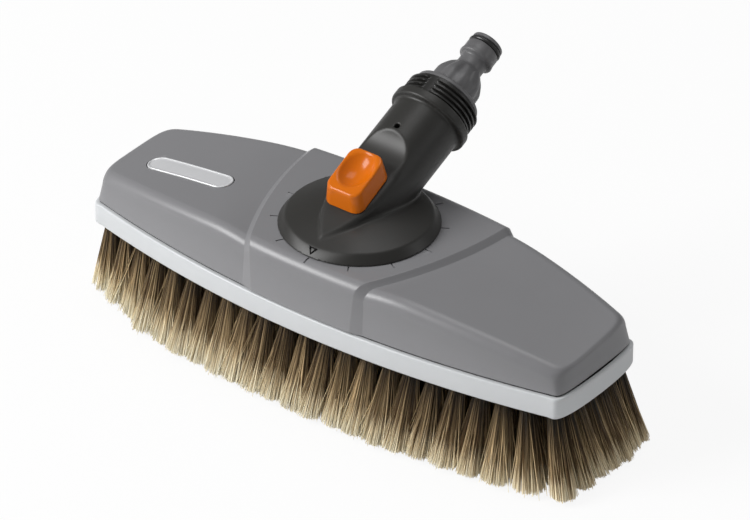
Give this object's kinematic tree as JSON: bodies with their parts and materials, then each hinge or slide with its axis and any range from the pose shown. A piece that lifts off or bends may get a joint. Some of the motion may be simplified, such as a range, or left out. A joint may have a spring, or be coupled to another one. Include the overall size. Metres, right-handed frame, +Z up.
{
  "type": "car wash brush",
  "caption": "Flow-through car wash brush with natural bristles on a crowned head, a leaning hose stem on a lockable swivel and an orange thumb slide.",
  "frame": {"origin": "on the ground under the middle of the whole brush's bounding box, at the level of the longest bristle tips", "axes": "+X along the bristle plate towards the end away from the badge, +Y the way the stem leans, towards the hose, +Z up out of the cover"},
  "size_m": [0.2708, 0.1463, 0.1253],
  "materials": {
    "cover_plastic": "mid grey moulded plastic, fine satin grain",
    "plate_plastic": "pale grey moulded plastic, satin to glossy",
    "bristle_hair": "natural brown hair with cream tips, matt",
    "badge_silver": "bare satin silver, without marks",
    "steel": "bright stainless steel",
    "clip_steel": "dark spring steel",
    "stem_plastic": "near-black moulded plastic, fine satin grain",
    "nipple_plastic": "grey moulded plastic, satin",
    "rubber": "black rubber",
    "button_plastic": "glossy orange moulded plastic",
    "bearing_plastic": "white slippery plastic",
    "tube_plastic": "milky hose plastic"
  },
  "bodies": {
    "head": {"bristle_plate": "plate_plastic", "bristles_left_end": "bristle_hair", "bristles_left": "bristle_hair", "bristles_middle": "bristle_hair", "bristles_right": "bristle_hair", "bristles_right_end": "bristle_hair", "cover_seal": "rubber", "top_cover": "cover_plastic", "badge": "badge_silver", "plate_screw_1": "steel", "plate_screw_2": "steel", "plate_screw_3": "steel", "plate_screw_4": "steel", "plate_screw_5": "steel", "plate_screw_6": "steel", "swivel_bush": "bearing_plastic", "thrust_washer": "bearing_plastic", "detent_ring": "stem_plastic"},
    "stem": {"swivel_base": "stem_plastic", "base_screw_1": "steel", "base_screw_2": "steel", "base_screw_3": "steel", "base_screw_4": "steel", "swivel_o_ring": "rubber", "swivel_washer": "steel", "swivel_clip": "clip_steel", "stem_housing": "stem_plastic", "water_tube": "tube_plastic", "hose_nipple": "nipple_plastic", "nipple_o_ring": "rubber", "bolt_spring_left": "steel", "bolt_spring_right": "steel"},
    "release": {"release_button": "button_plastic", "lock_bolt": "steel"}
  },
  "joints": [
    {"name": "swivel", "type": "hinge", "parent": "head", "child": "stem", "pos_m": [-0.003, -0.02275, 0.07274], "axis": [0, 0, 1], "continuous": true},
    {"name": "release_slide", "type": "slide", "parent": "stem", "child": "release", "axis": [0, 0.9245, 0.3811], "range_m": [0, 0.005], "stiffness_N_per_m": 300, "springref_m": -0.006, "deforming": ["bolt_spring_left", "bolt_spring_right"]}
  ]
}
